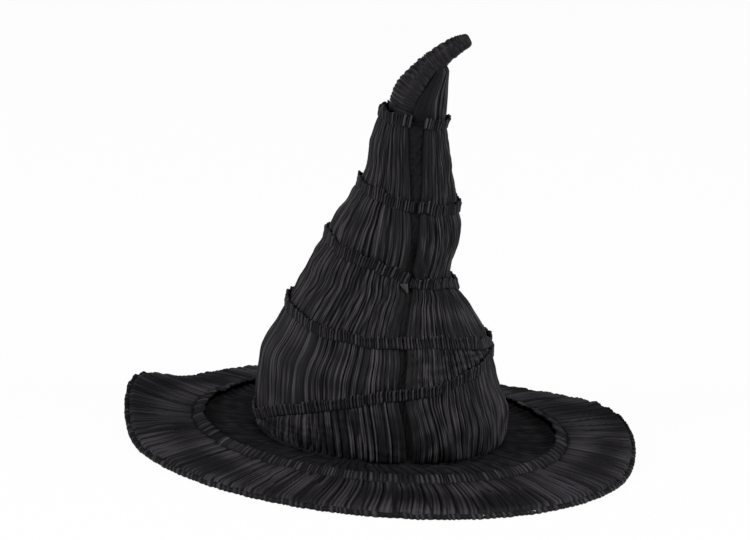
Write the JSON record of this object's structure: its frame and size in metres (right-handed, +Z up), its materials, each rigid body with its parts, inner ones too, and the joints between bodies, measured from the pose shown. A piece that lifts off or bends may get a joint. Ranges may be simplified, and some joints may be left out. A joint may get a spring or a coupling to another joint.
{
  "type": "witch hat",
  "caption": "Wide-brimmed pointed hat with a crooked crown of gathered pleated tiers, a bent stuffed tip and a wired pleated brim.",
  "frame": {"origin": "centre of the head opening, level with the seam between crown and brim", "axes": "+Z up the crown, front seam at -Y, tip bends towards +X"},
  "size_m": [0.4, 0.4, 0.3326],
  "materials": {
    "pleated_cloth": "matte, finely pleated",
    "ruched_cloth": "matte, ruched",
    "gathered_cloth": "matte, gathered crosswise",
    "flat_cloth": "matte",
    "stiffened_cloth": "matte, stiff",
    "lining_cloth": "soft sheen",
    "sweatband_tape": "ribbed tape",
    "stuffing": "loose fibre",
    "spring_wire": "dull"
  },
  "bodies": {
    "root": {"back_seam_strip": "flat_cloth", "brim_edge": "ruched_cloth", "brim_form": "stiffened_cloth", "brim_inner_cover": "pleated_cloth", "brim_outer_cover": "pleated_cloth", "brim_ridge_frill": "ruched_cloth", "brim_underside": "lining_cloth", "brim_wire": "spring_wire", "crown_form_1": "stiffened_cloth", "crown_form_2": "stiffened_cloth", "crown_form_3": "stiffened_cloth", "crown_form_4": "stiffened_cloth", "crown_form_5": "stiffened_cloth", "crown_lining": "lining_cloth", "front_seam_strip": "flat_cloth", "neck_padding": "stuffing", "neck_panel": "pleated_cloth", "seam_band_1_left": "ruched_cloth", "seam_band_1_right": "ruched_cloth", "seam_band_2_left": "ruched_cloth", "seam_band_2_right": "ruched_cloth", "seam_band_3_left": "ruched_cloth", "seam_band_3_right": "ruched_cloth", "seam_band_4_left": "ruched_cloth", "seam_band_4_right": "ruched_cloth", "seam_band_5_left": "ruched_cloth", "seam_band_5_right": "ruched_cloth", "seam_tab": "ruched_cloth", "sweatband": "sweatband_tape", "tier_1_left": "pleated_cloth", "tier_1_right": "pleated_cloth", "tier_2_left": "pleated_cloth", "tier_2_right": "pleated_cloth", "tier_3_left": "pleated_cloth", "tier_3_right": "pleated_cloth", "tier_4_left": "pleated_cloth", "tier_4_right": "pleated_cloth", "tier_5_left": "pleated_cloth", "tier_5_right": "pleated_cloth", "tip_cover": "gathered_cloth", "tip_stuffing": "stuffing"}
  },
  "joints": []
}
